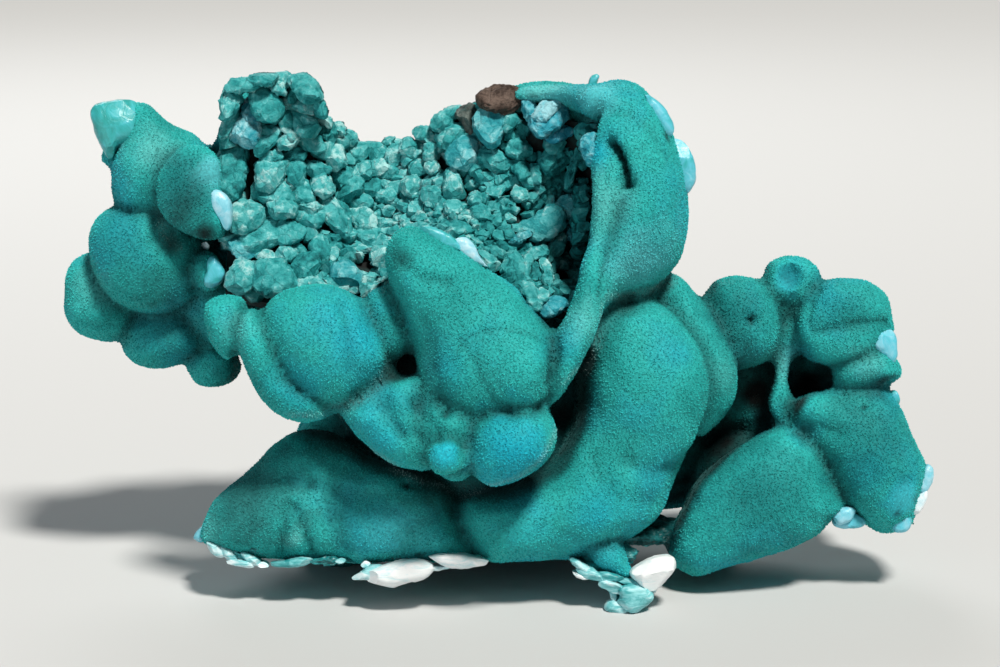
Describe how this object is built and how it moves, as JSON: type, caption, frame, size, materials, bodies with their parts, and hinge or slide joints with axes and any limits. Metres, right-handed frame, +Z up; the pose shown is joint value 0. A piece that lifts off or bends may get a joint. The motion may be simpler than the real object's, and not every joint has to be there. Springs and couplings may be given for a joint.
{
  "type": "aurichalcite specimen",
  "caption": "Two-tiered cluster of velvety blue-green rounded lobes with a crystal-lined hollow on top, standing on flat feet of pale chalky matrix.",
  "frame": {"origin": "on the level it stands on, under the middle of its bounding box", "axes": "+X to the right across the show face, +Y from the show face to the back, +Z up"},
  "size_m": [0.0895, 0.0421, 0.052],
  "materials": {
    "velvet_aurichalcite": "velvety druse of tiny needles",
    "blocky_crystals": "waxy blocky crystals",
    "chalky_matrix": "pearly white to pale cyan, broken"
  },
  "bodies": {
    "root": {"aurichalcite_mass": "velvet_aurichalcite", "hollow_crust": "blocky_crystals", "white_matrix": "chalky_matrix"}
  },
  "joints": []
}
